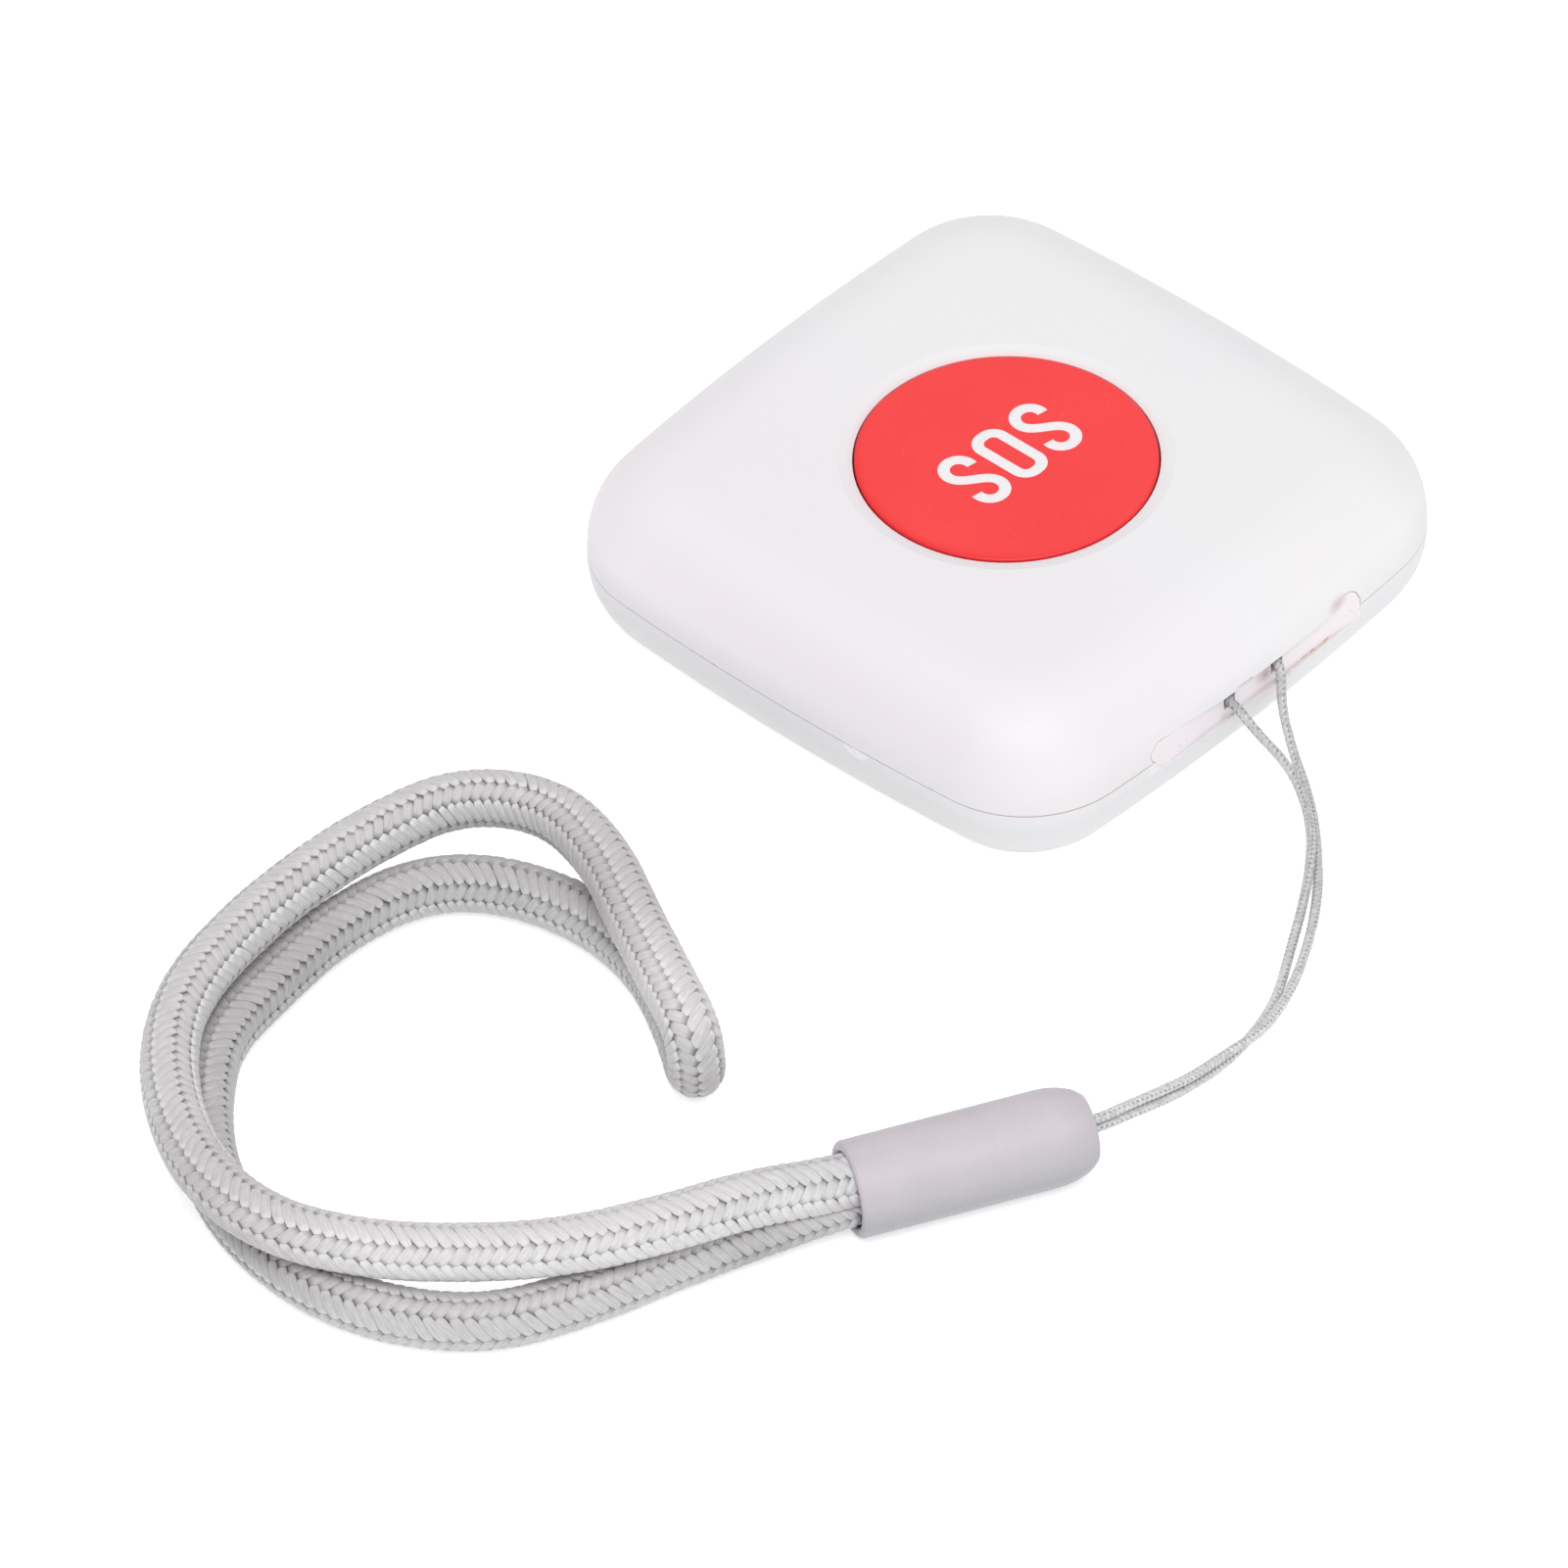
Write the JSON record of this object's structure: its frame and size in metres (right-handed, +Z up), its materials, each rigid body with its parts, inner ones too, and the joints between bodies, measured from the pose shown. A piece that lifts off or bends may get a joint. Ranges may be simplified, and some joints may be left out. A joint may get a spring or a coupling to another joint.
{
  "type": "wireless panic button",
  "caption": "Small square pillow-shaped radio button case with a flush round press button and a braided wrist strap on a thin cord loop.",
  "frame": {"origin": "centre of the underside of the case, on the surface it lies on", "axes": "+Z up through the button; +X along the reading direction of the legend; +Y towards the top of the legend; the wrist strap leaves through the -Y side"},
  "size_m": [0.1358, 0.0837, 0.0153],
  "materials": {
    "case_white": "satin moulded plastic, warm white with a faint lilac cast",
    "button_red": "fine satin moulded plastic, bright red",
    "board_green": "green solder mask",
    "plated_steel": "nickel-plated steel",
    "black_plastic": "black moulded plastic",
    "chip_black": "black epoxy",
    "ceramic_pale": "pale ceramic",
    "ceramic_tan": "tan ceramic",
    "led_clear": "clear cast resin",
    "pairing_grey": "grey moulded plastic",
    "sleeve_grey": "soft moulded sleeve, lilac grey, matte",
    "crimp_aluminium": "plain rolled metal",
    "cord_grey": "tightly braided thin cord, silver grey",
    "strap_grey": "herringbone braided soft rope, silver grey"
  },
  "bodies": {
    "case": {"upper_shell": "case_white", "lower_shell": "case_white", "circuit_board": "board_green", "board_screws": "plated_steel", "switch_base": "black_plastic", "switch_dome": "plated_steel", "switch_cover": "plated_steel", "battery_cell": "plated_steel", "battery_holder": "black_plastic", "battery_contact_positive": "plated_steel", "battery_contact_negative": "plated_steel", "radio_chip": "chip_black", "radio_shield": "plated_steel", "crystal": "plated_steel", "antenna": "ceramic_pale", "status_led": "led_clear", "capacitors": "ceramic_tan", "resistors": "chip_black", "inductor": "chip_black", "pairing_switch": "black_plastic", "cord_sleeve": "sleeve_grey", "sleeve_crimp": "crimp_aluminium", "loop_cord": "cord_grey", "wrist_strap": "strap_grey"},
    "button": {"button_cap": "button_red"},
    "plunger": {"switch_plunger": "black_plastic"},
    "pairing_button": {"pairing_plunger": "pairing_grey"}
  },
  "joints": [
    {"name": "button_press", "type": "slide", "parent": "case", "child": "button", "axis": [0, 0, -1], "range_m": [0, 0.0005], "stiffness_N_per_m": 4000},
    {"name": "plunger_press", "type": "slide", "parent": "case", "child": "plunger", "axis": [0, 0, -1], "range_m": [0, 0.0005], "stiffness_N_per_m": 200, "deforming": ["switch_dome"]},
    {"name": "pairing_press", "type": "slide", "parent": "case", "child": "pairing_button", "axis": [0, 0, 1], "range_m": [0, 0.00025], "stiffness_N_per_m": 1500}
  ],
  "couplings": [
    {"joint": "plunger_press", "follows": "button_press", "ratio": 1}
  ]
}
